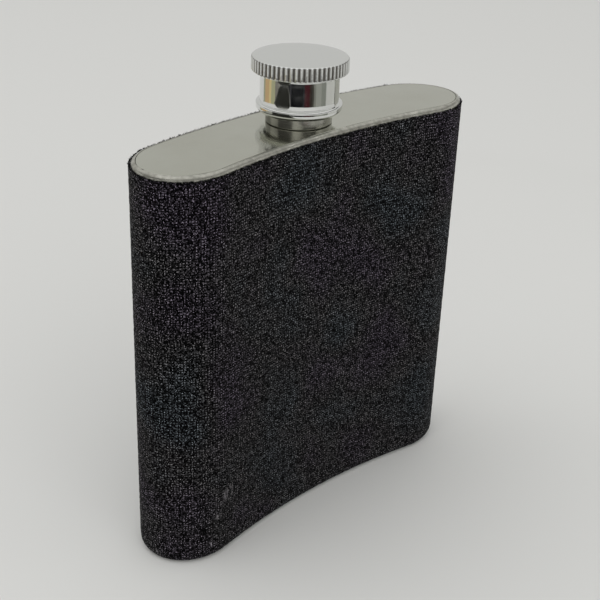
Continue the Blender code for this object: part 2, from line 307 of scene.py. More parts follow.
@dataclass(frozen=True)
class GlitterWeave(Finish):
    """Black plain-weave polyester dusted with glitter that sticks to the crowns of its threads.

    The threads cross in a square grid of small crowns. The thread's colour holds painted light and
    shade: it is brighter on the crowns and darker in the hollows between them. Flakes lie
    scattered over the crowns, most of them dull and a few bright, so the cloth is black with fine
    random sparks. Its dye drifts a little from violet to a bluish green, and rubbing has left a few
    pale scuffs. The pattern follows the sleeve's UV map, which is in metres along the cloth. Real
    threads and flakes are about half as big; they are drawn at these sizes so that they show.

    Attributes:
        pitch: Distance from one crown to the next.
        flake_size: Distance between neighbouring flakes.
        glitter: How much of a flake's mirror shows at its brightest.
        luck_power: How rare bright flakes are; a higher power leaves fewer.
        thread: Colour of the thread.
        flake: Colour of a flake.
        flake_tilt: How far flakes lean from the cloth.
        tint_size: Size of the patches of tint.
        scuff_strength: How much film a full scuff bares.
        scuff_streak: Width of a scuff's streaks.
        scuffs: Place, reach and strength of each scuff.
    """

    pitch: float = 0.62 * MM
    flake_size: float = 0.235 * MM
    glitter: float = 0.96
    luck_power: float = 4.0
    thread: str = "030304"
    flake: str = "e6e4e8"
    flake_tilt: float = 0.9
    tint_size: float = 26 * MM
    scuff_strength: float = 0.6
    scuff_streak: float = 0.45 * MM
    scuffs: tuple[tuple[float, float, float, float, float], ...] = (
        (-0.0311, -0.0122, 0.0157, 2.4 * MM, 1.0),
        (-0.0346, -0.0123, 0.0112, 1.6 * MM, 0.8),
        (-0.0359, -0.0123, 0.0040, 1.4 * MM, 1.0),
        (-0.0455, -0.0048, 0.0022, 1.2 * MM, 0.9),
    )

    def dress(self, tree: bpy.types.NodeTree, shader: bpy.types.Node) -> None:
        """Crowns, scattered flakes, drifting tints and scuffs.

        Args:
            tree: The material's node tree.
            shader: Its Principled shader.
        """
        cloth = add_node(tree, "ShaderNodeUVMap", {"uv_map": "cloth"}).outputs[0]
        phase = add_node(tree, "ShaderNodeVectorMath", {"operation": "SCALE"}, {
            0: cloth, "Scale": TURN / self.pitch,
        }).outputs[0]
        waves = add_node(tree, "ShaderNodeSeparateXYZ", None, {0: phase})
        sines = [math_node(tree, "SINE", waves.outputs[axis]) for axis in (0, 1)]
        across, along = [math_node(tree, "MULTIPLY_ADD", sine, 0.5, 0.5) for sine in sines]
        crown = math_node(tree, "MULTIPLY", across, along)

        flakes = add_node(tree, "ShaderNodeTexVoronoi", {"voronoi_dimensions": "2D"}, {
            "Vector": cloth, "Scale": 1.0 / self.flake_size, "Randomness": 0.75,
        })
        rolls = add_node(tree, "ShaderNodeSeparateColor", None, {0: flakes.outputs["Color"]})
        body = add_node(tree, "ShaderNodeMapRange", {"interpolation_type": "SMOOTHSTEP"}, {
            "Value": flakes.outputs["Distance"], "From Min": 0.62, "From Max": 0.12,
        }).outputs[0]
        luck = math_node(tree, "POWER", rolls.outputs[0], self.luck_power)
        shine = math_node(tree, "MULTIPLY", luck, self.glitter)
        held = math_node(tree, "MULTIPLY_ADD", crown, 1.5, 0.25)
        lit = math_node(tree, "MULTIPLY", shine, body)
        flake = math_node(tree, "MULTIPLY", lit, held)
        scuffed = self.scuffed(tree)
        flake = math_node(tree, "MULTIPLY_ADD", scuffed, self.scuff_strength, flake)

        off_x = math_node(tree, "SUBTRACT", rolls.outputs[1], 0.5)
        off_y = math_node(tree, "SUBTRACT", rolls.outputs[2], 0.5)
        normal_colour = add_node(tree, "ShaderNodeCombineColor", None, {
            0: math_node(tree, "MULTIPLY_ADD", off_x, self.flake_tilt / 2, 0.5),
            1: math_node(tree, "MULTIPLY_ADD", off_y, self.flake_tilt / 2, 0.5),
            2: 1.0,
        }).outputs[0]
        normal = add_node(tree, "ShaderNodeNormalMap", {"uv_map": "cloth"}, {
            "Color": normal_colour,
        }).outputs[0]

        drift = add_node(tree, "ShaderNodeTexNoise", None, {
            "Vector": cloth, "Scale": 1.0 / self.tint_size, "Detail": 2.0,
        }).outputs["Fac"]
        tints = add_node(tree, "ShaderNodeValToRGB", None, {"Fac": drift})
        ramp = tints.color_ramp
        ramp.elements[0].position, ramp.elements[0].color = 0.36, linear("d9cde0")
        ramp.elements[1].position, ramp.elements[1].color = 0.64, linear("cad7de")
        ramp.elements.new(0.5).color = linear("d4d2d2")
        thread = add_node(tree, "ShaderNodeMix", {"data_type": "RGBA", "blend_type": "MULTIPLY"}, {
            "Factor": 1.0, 6: linear(self.thread), 7: tints.outputs[0],
        }).outputs[2]
        # painted light and shade: the thread's colour is brightened on the crowns and darkened in the
        # hollows
        shade = math_node(tree, "MULTIPLY_ADD", crown, 1.7, 0.12)
        thread = add_node(tree, "ShaderNodeVectorMath", {"operation": "SCALE"}, {
            0: thread, "Scale": shade,
        }).outputs[0]
        film = add_node(tree, "ShaderNodeMix", {"data_type": "RGBA", "blend_type": "MULTIPLY"}, {
            "Factor": 1.0, 6: linear(self.flake), 7: tints.outputs[0],
        }).outputs[2]
        colour = add_node(tree, "ShaderNodeMix", {"data_type": "RGBA"}, {
            "Factor": flake, 6: thread, 7: film,
        }).outputs[2]
        rough = add_node(tree, "ShaderNodeMapRange", None, {
            "Value": flake, "To Min": 0.75, "To Max": 0.36,
        }).outputs[0]
        tree.links.new(colour, shader.inputs["Base Color"])
        tree.links.new(flake, shader.inputs["Metallic"])
        tree.links.new(rough, shader.inputs["Roughness"])
        tree.links.new(normal, shader.inputs["Normal"])
        shader.inputs["Specular IOR Level"].default_value = 0.03
        shader.inputs["Sheen Weight"].default_value = 0.02
        shader.inputs["Sheen Roughness"].default_value = 0.35

    def scuffed(self, tree: bpy.types.NodeTree) -> bpy.types.NodeSocket:
        """Work out how scuffed the cloth is: streaks of noise inside each scuff's own patch.

        Args:
            tree: The material's node tree.

        Returns:
            A socket that gives 0 on sound cloth and up to 1 in a scuff.
        """
        place = add_node(tree, "ShaderNodeTexCoord").outputs["Object"]
        turned = add_node(tree, "ShaderNodeMapping", None, {
            "Vector": place, "Rotation": (0.0, 0.5, 0.0), "Scale": (1.0, 1.0, 0.22),
        }).outputs[0]
        streaks = add_node(tree, "ShaderNodeTexNoise", None, {
            "Vector": turned, "Scale": 1.0 / self.scuff_streak, "Detail": 2.0,
        }).outputs["Fac"]
        streaks = add_node(tree, "ShaderNodeMapRange", None, {
            "Value": streaks, "From Min": 0.50, "From Max": 0.64,
        }).outputs[0]
        total = None
        for x, y, z, reach, strength in self.scuffs:
            away = add_node(tree, "ShaderNodeVectorMath", {"operation": "DISTANCE"}, {
                0: place, 1: (x, y, z),
            }).outputs["Value"]
            patch = add_node(tree, "ShaderNodeMapRange", {"interpolation_type": "SMOOTHSTEP"}, {
                "Value": away, "From Min": reach, "From Max": 0.0, "To Min": 0.0, "To Max": strength,
            }).outputs[0]
            total = patch if total is None else math_node(tree, "ADD", total, patch)
        return math_node(tree, "MULTIPLY", total, streaks)


@dataclass(frozen=True)
class MetallisedFilm(Finish):
    """Flakes cut from metallised black film, mirror bright on some faces and dull on others."""

    dull: str = "0a0a0b"
    bright: str = "55535a"
    patch_size: float = 0.4 * MM

    def dress(self, tree: bpy.types.NodeTree, shader: bpy.types.Node) -> None:
        """Dark film whose tone changes from flake to flake.

        Args:
            tree: The material's node tree.
            shader: Its Principled shader.
        """
        place = add_node(tree, "ShaderNodeTexCoord").outputs["Object"]
        patch = add_node(tree, "ShaderNodeTexVoronoi", None, {
            "Vector": place, "Scale": 1.0 / self.patch_size,
        }).outputs["Color"]
        roll = add_node(tree, "ShaderNodeSeparateColor", None, {0: patch}).outputs[0]
        ramp = add_node(tree, "ShaderNodeValToRGB", None, {
            "Fac": math_node(tree, "POWER", roll, 3.0),
        })
        ramp.color_ramp.elements[0].color = linear(self.dull)
        ramp.color_ramp.elements[1].color = linear(self.bright)
        tree.links.new(ramp.outputs[0], shader.inputs["Base Color"])
        shader.inputs["Metallic"].default_value = 0.9
        shader.inputs["Roughness"].default_value = 0.3


@dataclass(frozen=True)
class MouldedPlastic(Finish):
    """Natural polypropylene, injection moulded in a lightly blasted tool, which leaves it satin."""

    colour: str = "dcdad2"
    shade: str = "d3d1c8"
    grain: float = 0.25 * MM
    grain_depth: float = 0.006 * MM

    def dress(self, tree: bpy.types.NodeTree, shader: bpy.types.Node) -> None:
        """Milky plastic with a fine even grain.

        Args:
            tree: The material's node tree.
            shader: Its Principled shader.
        """
        place = add_node(tree, "ShaderNodeTexCoord").outputs["Object"]
        grain = add_node(tree, "ShaderNodeTexNoise", None, {
            "Vector": place, "Scale": 1.0 / self.grain, "Detail": 3.0,
        }).outputs["Fac"]
        bump = add_node(tree, "ShaderNodeBump", None, {
            "Height": grain, "Strength": 1.0, "Distance": self.grain_depth,
        }).outputs[0]
        tone = add_node(tree, "ShaderNodeValToRGB", None, {"Fac": grain})
        tone.color_ramp.elements[0].color = linear(self.shade)
        tone.color_ramp.elements[1].color = linear(self.colour)
        tree.links.new(tone.outputs[0], shader.inputs["Base Color"])
        tree.links.new(bump, shader.inputs["Normal"])
        shader.inputs["Roughness"].default_value = 0.42
        shader.inputs["Subsurface Weight"].default_value = 0.15
        shader.inputs["Subsurface Radius"].default_value = (0.001, 0.001, 0.0009)


@dataclass(frozen=True)
class Silicone(Finish):
    """White food-grade silicone, die cut from calendered sheet, so it is matt and a little cloudy."""

    colour: str = "efeee9"
    shade: str = "d6d3cb"
    cloud_size: float = 1.5 * MM

    def dress(self, tree: bpy.types.NodeTree, shader: bpy.types.Node) -> None:
        """Soft matt white with slight clouding.

        Args:
            tree: The material's node tree.
            shader: Its Principled shader.
        """
        place = add_node(tree, "ShaderNodeTexCoord").outputs["Object"]
        cloud = add_node(tree, "ShaderNodeTexNoise", None, {
            "Vector": place, "Scale": 1.0 / self.cloud_size, "Detail": 3.0,
        }).outputs["Fac"]
        tone = add_node(tree, "ShaderNodeValToRGB", None, {"Fac": cloud})
        tone.color_ramp.elements[0].color = linear(self.shade)
        tone.color_ramp.elements[1].color = linear(self.colour)
        tree.links.new(tone.outputs[0], shader.inputs["Base Color"])
        shader.inputs["Roughness"].default_value = 0.58
        shader.inputs["Specular IOR Level"].default_value = 0.4


# ------------------------------------------------------------------ mesh building

def grid_faces(rows: int, columns: int, loop_rows: bool, loop_columns: bool) -> np.ndarray:
    """Join a grid of vertices into quads.

    Args:
        rows: Number of rows; vertex numbers run along a row first.
        columns: Number of vertices in a row.
        loop_rows: Whether the last row joins the first.
        loop_columns: Whether the last column joins the first.

    Returns:
        An array of four vertex numbers a quad.
    """
    row = np.arange(rows if loop_rows else rows - 1)[:, None]
    column = np.arange(columns if loop_columns else columns - 1)[None, :]
    next_row = (row + 1) % rows
    next_column = (column + 1) % columns
    corners = [
        row * columns + column, row * columns + next_column,
        next_row * columns + next_column, next_row * columns + column,
    ]
    return np.stack(np.broadcast_arrays(*corners), axis=-1).reshape(-1, 4)


def fan_faces(ring: np.ndarray, pole: int) -> np.ndarray:
    """Return triangles from each edge of a closed ring of vertex numbers to a pole."""
    return np.column_stack([ring, np.roll(ring, -1), np.full(len(ring), pole)])


def make_piece(
    name: str, verts: np.ndarray, faces: list[np.ndarray], finish: Finish, body: Body,
    smooth: bool = True, uv: np.ndarray | None = None, groove_shade: np.ndarray | None = None,
    sharp_angle: float = 40.0,
) -> bpy.types.Object:
    """Put arrays into a mesh, give it its finish and let it ride on its body.

    Args:
        name: The piece's name.
        verts: Vertex places, in metres.
        faces: Arrays of faces, all the faces of one array having as many corners.
        finish: The finish.
        body: The body that carries the piece.
        smooth: Whether the faces are shaded smooth.
        uv: A place on the flat cloth for each vertex, in metres.
        groove_shade: How much painted shade darkens each vertex, from 0 to 1.
        sharp_angle: Edges that turn by more than this many degrees stay sharp.

    Returns:
        The new object.
    """
    mesh = bpy.data.meshes.new(name)
    mesh.vertices.add(len(verts))
    mesh.vertices.foreach_set("co", np.ascontiguousarray(verts, dtype=np.float32).ravel())
    corners = np.concatenate([np.ascontiguousarray(part).ravel() for part in faces]).astype(np.int32)
    sizes = np.concatenate([np.full(len(part), part.shape[1]) for part in faces])
    starts = np.concatenate([[0], np.cumsum(sizes)[:-1]]).astype(np.int32)
    mesh.loops.add(len(corners))
    mesh.loops.foreach_set("vertex_index", corners)
    mesh.polygons.add(len(sizes))
    mesh.polygons.foreach_set("loop_start", starts)
    if uv is not None:
        layer = mesh.uv_layers.new(name="cloth")
        layer.data.foreach_set("uv", np.ascontiguousarray(uv[corners], dtype=np.float32).ravel())
    if groove_shade is not None:
        shade_layer = mesh.attributes.new("groove_shade", "FLOAT", "POINT")
        shade_layer.data.foreach_set("value", np.ascontiguousarray(groove_shade, dtype=np.float32))
    mesh.update(calc_edges=True)
    mesh.validate()
    if smooth:
        mesh.shade_smooth()
        mesh.set_sharp_from_angle(angle=math.radians(sharp_angle))
    mesh.materials.append(finish.material())
    piece = bpy.data.objects.new(name, mesh)
    bpy.context.scene.collection.objects.link(piece)
    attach(piece, body.value)
    LOG.info("%s: %d faces, %s", name, len(mesh.polygons), finish.name)
    return piece


def rounded_profile(corners: list[tuple[float, float, float]], steps: int = 6) -> np.ndarray:
    """Round the corners of a profile.

    Each corner is cut back along both of its sides by as much as an arc of its radius needs, and
    a quadratic curve that touches both sides there takes its place.

    Args:
        corners: Distance, height and rounding of each corner.
        steps: Pieces in each rounding.

    Returns:
        The profile's points, two numbers a point.
    """
    points = []
    places = np.array([corner[:2] for corner in corners])
    t = np.linspace(0.0, 1.0, steps + 1)[:, None]
    for number, (_, _, radius) in enumerate(corners):
        here = places[number]
        if radius == 0.0 or number in (0, len(corners) - 1):
            points.append(here[None, :])
            continue
        before = places[number - 1] - here
        after = places[number + 1] - here
        start = here + before * min(0.5, radius / np.linalg.norm(before))
        stop = here + after * min(0.5, radius / np.linalg.norm(after))
        points.append(start * (1 - t) ** 2 + 2 * here * t * (1 - t) + stop * t ** 2)
    return np.vstack(points)


def subdivided(profile: np.ndarray, longest: float) -> np.ndarray:
    """Add points to a profile so that no stretch of it is long.

    Args:
        profile: The profile's points, two numbers a point.
        longest: The longest stretch allowed.

    Returns:
        The profile with its old points and the new ones between them.
    """
    parts = []
    for start, stop in zip(profile[:-1], profile[1:]):
        count = max(1, math.ceil(np.linalg.norm(stop - start) / longest))
        parts.append(start + (stop - start) * np.linspace(0.0, 1.0, count, endpoint=False)[:, None])
    parts.append(profile[-1:])
    return np.vstack(parts)


def turned_surface(
    radii: np.ndarray, heights: np.ndarray, centre: tuple[float, float], closed: bool
) -> tuple[np.ndarray, list[np.ndarray]]:
    """Turn a profile about a vertical axis.

    The point at turn a on row i is centre + radius(i, a) * (cos a, sin a), at that row's height.
    The profile runs down the outer side and up the inner one.

    Args:
        radii: Radius for each row and each step of the turn.
        heights: Height for each row and each step, or for each row.
        centre: The axis, as x and y.
        closed: True for a ring; False when the profile starts and ends on the axis, and then
            its first and last rows each become one pole.

    Returns:
        Vertex places and arrays of faces.
    """
    rows, steps = radii.shape
    turns = np.arange(steps) * TURN / steps
    if heights.ndim == 1:
        heights = np.repeat(heights[:, None], steps, axis=1)
    x = centre[0] + radii * np.cos(turns)
    y = centre[1] + radii * np.sin(turns)
    points = np.stack([x, y, heights], axis=-1)
    if closed:
        return points.reshape(-1, 3), [grid_faces(rows, steps, True, True)[:, ::-1]]
    body = points[1:-1].reshape(-1, 3)
    verts = np.vstack([body, points[0, :1], points[-1, :1]])
    ring = np.arange(steps)
    last = (rows - 3) * steps
    faces = [
        grid_faces(rows - 2, steps, False, True)[:, ::-1],
        fan_faces(ring, len(body)),
        fan_faces(ring[::-1] + last, len(body) + 1),
    ]
    return verts, faces


def double_pyramids(
    centre: np.ndarray, axis: np.ndarray, radius: np.ndarray, tip: np.ndarray, tail: np.ndarray,
    spin: np.ndarray,
) -> tuple[np.ndarray, np.ndarray]:
    """Make one small closed flake at each centre: a pyramid on each side of a triangle.

    The triangle's corners are centre + radius * (cos t, sin t) across the axis, a third of a turn
    apart, and its two points are centre + tip * axis and centre - tail * axis.

    Args:
        centre: Centres, one a row.
        axis: Unit axes, one a row.
        radius: Reach of each triangle's corners.
        tip: Height of each point on the axis's side.
        tail: Depth of each point on the other side.
        spin: Turn of each triangle about its axis, in radians.

    Returns:
        Vertex places and triangles.
    """
    count = len(centre)
    helper = np.where(np.abs(axis[:, 2:]) < 0.9, [[0.0, 0.0, 1.0]], [[1.0, 0.0, 0.0]])
    side = np.cross(helper, axis)
    side /= np.linalg.norm(side, axis=1, keepdims=True)
    other = np.cross(axis, side)
    turns = spin[:, None] + np.arange(3)[None, :] * TURN / 3
    ring = np.cos(turns)[..., None] * side[:, None] + np.sin(turns)[..., None] * other[:, None]
    ring = centre[:, None] + ring * radius[:, None, None]
    points = np.stack([centre + axis * tip[:, None], centre - axis * tail[:, None]], axis=1)
    verts = np.concatenate([ring, points], axis=1).reshape(-1, 3)
    pattern = np.array([[0, 1, 3], [1, 2, 3], [2, 0, 3], [1, 0, 4], [2, 1, 4], [0, 2, 4]])
    faces = (np.arange(count)[:, None, None] * 5 + pattern[None]).reshape(-1, 3)
    return verts, faces


@dataclass(frozen=True)
class ScrewThread:
    """Right-hand thread with tapered teeth, whose ends fade out over part of a turn.

    Attributes:
        lead: Rise in one turn.
        root_width: Width of a tooth where it leaves the wall.
        crest_width: Width of its top.
        start: Height of the tooth's middle where the thread starts.
        first_turn: The turn that it starts at.
        turns: How many turns it has.
        fade: Share of a turn over which each end fades.
    """

    lead: float
    root_width: float
    crest_width: float
    start: float
    first_turn: float
    turns: float
    fade: float = 0.12

    def tooth(self, angle: np.ndarray, height: np.ndarray) -> np.ndarray:
        """Work out how far the tooth stands out.

        A point's turn number is the one whose helix passes nearest to its height. Its distance
        from that helix goes through a trapezoid, and the thread's two ends fade the result.

        Args:
            angle: Turn about the axis, in radians.
            height: Height of the point.

        Returns:
            A share of the full tooth, from 0 to 1.
        """
        part = angle / TURN
        whole = np.round((height - self.start) / self.lead - part)
        number = whole + part
        away = np.abs(height - self.start - number * self.lead)
        flank = (self.root_width - self.crest_width) / 2
        share = np.clip((self.root_width / 2 - away) / flank, 0.0, 1.0)
        begun = np.clip((number - self.first_turn) / self.fade, 0.0, 1.0)
        ended = np.clip((self.first_turn + self.turns - number) / self.fade, 0.0, 1.0)
        return share * np.minimum(begun, ended)


# ------------------------------------------------------------------ the kidney outline

@dataclass(frozen=True)
class KidneyOutline:
    """The steel body's outline: two arcs about one centre for the sides, half an ellipse for each end.

    Attributes:
        width: Length of the body from end to end.
        thickness: Distance between the two arcs.
        mid_radius: Radius of the bend, halfway between the arcs.
        end_length: Half axis of the ends, along the width.
        axis_y: Where the middle of the bend crosses the middle of the body.
    """

    width: float
    thickness: float
    mid_radius: float
    end_length: float
    axis_y: float

    def dense(self, steps: int = 1200) -> np.ndarray:
        """Work out many points of the outline, anticlockwise from the middle of the back.

        A side's point at angle a is (sin a, cos a) times the bend's radius plus or minus half the
        thickness. An end's point at turn t goes out by the end's length times sin t and across by
        half the thickness times cos t.

        Args:
            steps: Points on each stretch.

        Returns:
            The points, two numbers a point.
        """
        half = self.thickness / 2
        swing = math.asin((self.width / 2 - self.end_length) / self.mid_radius)
        stretches = []
        for first, last, reach in ((0, -1, 1), (-1, 1, -1), (1, 0, 1)):
            angles = np.linspace(first * swing, last * swing, steps)
            ray = np.column_stack([np.sin(angles), np.cos(angles)])
            stretches.append(ray * (self.mid_radius + reach * half))
        ends = []
        for side in (-1, 1):
            turn = np.linspace(0.0, math.pi, steps)[:, None]
            radial = np.array([side * math.sin(swing), math.cos(swing)])
            tangent = np.array([side * math.cos(swing), -math.sin(swing)])
            reach = self.mid_radius + half * np.cos(turn)
            ends.append(radial * reach + tangent * self.end_length * np.sin(turn))
        parts = [stretches[0], ends[0][1:], stretches[1][1:], ends[1][::-1][1:], stretches[2][1:-1]]
        return np.vstack(parts) + np.array([0.0, self.axis_y - self.mid_radius])

    def at(self, shares: np.ndarray) -> tuple[np.ndarray, np.ndarray]:
        """Find points at shares of the way round.

        Args:
            shares: Shares of the outline's length, from 0 to 1.

        Returns:
            The points, and the unit normals that point out of the body there.
        """
        points = self.dense()
        step = np.roll(points, -1, axis=0) - points
        lengths = np.linalg.norm(step, axis=1)
        travelled = np.concatenate([[0.0], np.cumsum(lengths)])
        looped = np.vstack([points, points[:1]])
        want = (shares % 1.0) * travelled[-1]
        place = np.column_stack([np.interp(want, travelled, looped[:, axis]) for axis in (0, 1)])
        along = np.roll(points, -3, axis=0) - np.roll(points, 3, axis=0)
        normal = np.column_stack([along[:, 1], -along[:, 0]])
        normal = np.vstack([normal, normal[:1]])
        out = np.column_stack([np.interp(want, travelled, normal[:, axis]) for axis in (0, 1)])
        return place, out / np.linalg.norm(out, axis=1, keepdims=True)

    def length(self) -> float:
        """Return the outline's length."""
        points = self.dense()
        return float(np.linalg.norm(np.roll(points, -1, axis=0) - points, axis=1).sum())

    def carried(self, profile: np.ndarray, shares: np.ndarray) -> np.ndarray:
        """Carry a profile round the outline.

        Args:
            profile: Distance outwards and height of each point, the same all round or with a
                leading axis for each share.
            shares: Places round the outline.

        Returns:
            Points, one row for each share and one column for each point of the profile.
        """
        place, out = self.at(shares)
        if profile.ndim == 2:
            profile = np.repeat(profile[None], len(shares), axis=0)
        flat = place[:, None, :] + out[:, None, :] * profile[..., :1]
        return np.concatenate([flat, profile[..., 1:]], axis=-1)


# ------------------------------------------------------------------ vessel

@dataclass
class Vessel:
    """Welded steel vessel: wall, top plate, base plate and neck, with the weld metal in their seams.

    Attributes:
        outline: The steel wall's outline.
        axis: The neck's axis, as x and y.
        plate_top: Height of the top plate's upper face.
    """

    outline: KidneyOutline
    axis: tuple[float, float]
    plate_top: float
    wall: float = 0.6 * MM
    rim_radius: float = 0.95 * MM
    foot_radius: float = 2.3 * MM
    plate_thickness: float = 0.8 * MM
    seam: float = 0.1 * MM
    bore: float = 5.6 * MM
    collar_radius: float = 7.3 * MM
    collar_height: float = 3.2 * MM
    collar_lift: float = 0.08 * MM
    root_radius: float = 6.55 * MM
    crest_radius: float = 7.15 * MM
    neck_height: float = 11.0 * MM
    spigot_radius: float = 6.5 * MM
    spigot_depth: float = 1.8 * MM
    thread: ScrewThread = ScrewThread(3.0 * MM, 1.63 * MM, 0.8 * MM, 4.4 * MM, 0.0, 1.8)
    outline_steps: int = 480
    turned_steps: int = 192
    plate_steel: Finish = PolishedSteel("buffed_stainless_plate", "plate_steel")
    wall_steel: Finish = PolishedSteel(
        "buffed_stainless_rim", "wall_steel", colour="c2c1b8", cloudy="9c9b92", roughness=0.34,
        cloud_size=1.2 * MM,
    )
    base_steel: Finish = PolishedSteel(
        "mill_stainless_base", "base_steel", colour="bdbcb4", cloudy="b0afa6", roughness=0.3,
        hairline_depth=0.003 * MM,
    )
    weld_steel: Finish = TurnedSteel(
        "weld_stainless", "wall_steel", colour="6b6a62", tint="302f2b", roughness=0.36
    )
    neck_steel: Finish = TurnedSteel("turned_stainless_neck", "neck_steel")

    def build(self) -> None:
        """Build every piece of the vessel."""
        self.build_wall()
        self.build_top_plate()
        self.build_base_plate()
        self.build_welds()
        self.build_neck()

    def shares(self) -> np.ndarray:
        """Return evenly spaced places round the outline."""
        return np.arange(self.outline_steps) / self.outline_steps

    def swept(self, name: str, profile: np.ndarray, finish: Finish) -> bpy.types.Object:
        """Carry a closed profile round the wall as a ring of steel.

        Args:
            name: The piece's name.
            profile: Distance outwards and height of each point; it runs down its outer side.
            finish: The finish.

        Returns:
            The new object.
        """
        points = self.outline.carried(profile, self.shares())
        rows, columns = points.shape[:2]
        faces = grid_faces(rows, columns, True, True)[:, ::-1]
        return make_piece(name, points.reshape(-1, 3), [faces], finish, Body.FLASK)

    def build_wall(self) -> None:
        """Tube of sheet whose top is hemmed over a round edge and whose foot turns under."""
        top = self.plate_top
        rim = self.rim_radius
        foot = self.foot_radius
        quarter = np.linspace(0.0, math.pi / 2, 13)
        rim_arc = np.column_stack([-rim + rim * np.sin(quarter), top - rim + rim * np.cos(quarter)])
        foot_arc = np.column_stack([-foot + foot * np.cos(quarter), foot - foot * np.sin(quarter)])
        inner = foot - self.wall
        inner_arc = np.column_stack([
            -foot + inner * np.cos(quarter), foot - inner * np.sin(quarter),
        ])[::-1]
        hem = np.array([[-self.wall, top - rim - self.wall], [-rim, top - rim]])
        profile = np.vstack([rim_arc, foot_arc, inner_arc, hem])
        piece = self.swept("steel_wall", subdivided(profile, 12 * MM), self.wall_steel)
        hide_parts("body_wall")

    def build_top_plate(self) -> None:
        """Flat plate, worked out as straight lines from the neck's hole to the outline.

        A point goes from the hole's edge at the same bearing to the outline as its share runs
        from 0 to 1, first over the upper face and then back under the lower one.
        """
        bevel = 0.08 * MM
        place, out = self.outline.at(self.shares())
        edge = place - out * (self.rim_radius + self.seam)
        bearing = np.arctan2(edge[:, 1] - self.axis[1], edge[:, 0] - self.axis[0])
        hole = np.column_stack([np.cos(bearing), np.sin(bearing)]) * (self.spigot_radius + self.seam)
        hole += np.array(self.axis)
        top = self.plate_top
        low = top - self.plate_thickness
        reach = np.linalg.norm(edge - hole, axis=1)[:, None]
        inset = bevel / reach[:, 0]
        across = [
            (0 * inset, top), *[(0 * inset + share, top) for share in np.linspace(0.1, 0.9, 9)],
            (1 - inset, top), (1 + 0 * inset, top - bevel), (1 + 0 * inset, low), (0 * inset, low),
        ]
        rows = []
        for share, height in across:
            flat = hole + (edge - hole) * share[:, None]
            rows.append(np.column_stack([flat, np.full(len(flat), height)]))
        points = np.stack(rows, axis=1)
        faces = grid_faces(points.shape[0], points.shape[1], True, True)
        piece = make_piece(
            "steel_top_plate", points.reshape(-1, 3), [faces], self.plate_steel, Body.FLASK,
        )
        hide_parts("top_plate")

    def build_base_plate(self) -> None:
        """Flat plate in the foot: the outline shrunk towards its middle, with a pole on each face."""
        place, out = self.outline.at(self.shares())
        edge = place - out * (self.foot_radius + self.seam)
        middle = np.array(self.axis)
        bevel = 0.1 * MM
        thick = self.plate_thickness
        levels = [(0.3, thick), (0.7, thick), (0.97, thick), (1.0, thick), (1.0, bevel)]
        levels += [(0.995, 0.0), (0.97, 0.0), (0.7, 0.0), (0.3, 0.0)]
        rings = []
        for share, height in levels:
            flat = middle + (edge - middle) * share
            rings.append(np.column_stack([flat, np.full(len(flat), height)]))
        body = np.vstack(rings)
        poles = np.array([[*middle, thick], [*middle, 0.0]])
        count = len(edge)
        ring = np.arange(count)
        faces = [
            grid_faces(len(levels), count, False, True)[:, ::-1],
            fan_faces(ring, len(body)),
            fan_faces(ring[::-1] + (len(levels) - 1) * count, len(body) + 1),
        ]
        piece = make_piece(
            "steel_base_plate", np.vstack([body, poles]), faces, self.base_steel, Body.FLASK,
        )
        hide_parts("base_plate")

    def build_welds(self) -> None:
        """Weld metal that fills the seams at the rim, at the foot and round the neck.

        Each is a small oval section; at the rim and foot it lies just under the surface, so the
        seam still shows as a fine groove.
        """
        turn = np.linspace(0.0, TURN, 12, endpoint=False)
        half = self.seam * 0.72
        for name, inside, height in (
            ("rim_weld", self.rim_radius, self.plate_top - 0.22 * MM),
            ("foot_weld", self.foot_radius, 0.3 * MM),
        ):
            middle = -inside - self.seam / 2
            section = np.column_stack([middle + half * np.sin(turn), height + 0.16 * MM * np.cos(turn)])
            self.swept(name, section, self.weld_steel)
        radius = self.spigot_radius + self.seam / 2
        height = self.plate_top - self.plate_thickness - 0.3 * MM
        section = np.column_stack([
            radius + 0.55 * MM * np.sin(turn), height + 0.22 * MM * np.cos(turn),
        ])
        radii = np.repeat(section[:, :1], self.turned_steps, axis=1)
        verts, faces = turned_surface(radii, section[:, 1], self.axis, True)
        make_piece("neck_weld", verts, faces, self.weld_steel, Body.FLASK)

    def build_neck(self) -> None:
        """Turned spout with a rounded lip, a thread and a plain collar that sits on the plate."""
        lip = 0.35 * MM
        low = -self.spigot_depth
        profile = rounded_profile([
            (self.bore, 0.0, 0.0),
            (self.bore, self.neck_height, lip),
            (self.root_radius, self.neck_height, lip),
            (self.root_radius, self.collar_height, 0.25 * MM),
            (self.collar_radius, self.collar_height, 0.3 * MM),
            (self.collar_radius, self.collar_lift, 0.2 * MM),
            (self.spigot_radius, self.collar_lift, 0.0),
            (self.spigot_radius, low, 0.1 * MM),
            (self.bore, low, 0.1 * MM),
            (self.bore, -0.001 * MM, 0.0),
        ])
        profile = subdivided(profile, 0.09 * MM)
        turns = np.arange(self.turned_steps) * TURN / self.turned_steps
        heights = profile[:, 1]
        radii = np.repeat(profile[:, :1], self.turned_steps, axis=1)
        share = self.thread.tooth(turns[None, :], heights[:, None])
        outer = np.abs(profile[:, 0] - self.root_radius) < 0.01 * MM
        wall = outer & (heights > self.collar_height)
        radii[wall] += (self.crest_radius - self.root_radius) * share[wall]
        verts, faces = turned_surface(radii, heights + self.plate_top, self.axis, True)
        piece = make_piece("steel_neck", verts, faces, self.neck_steel, Body.FLASK, sharp_angle=50.0)
        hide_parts("neck")


# ------------------------------------------------------------------ sleeve

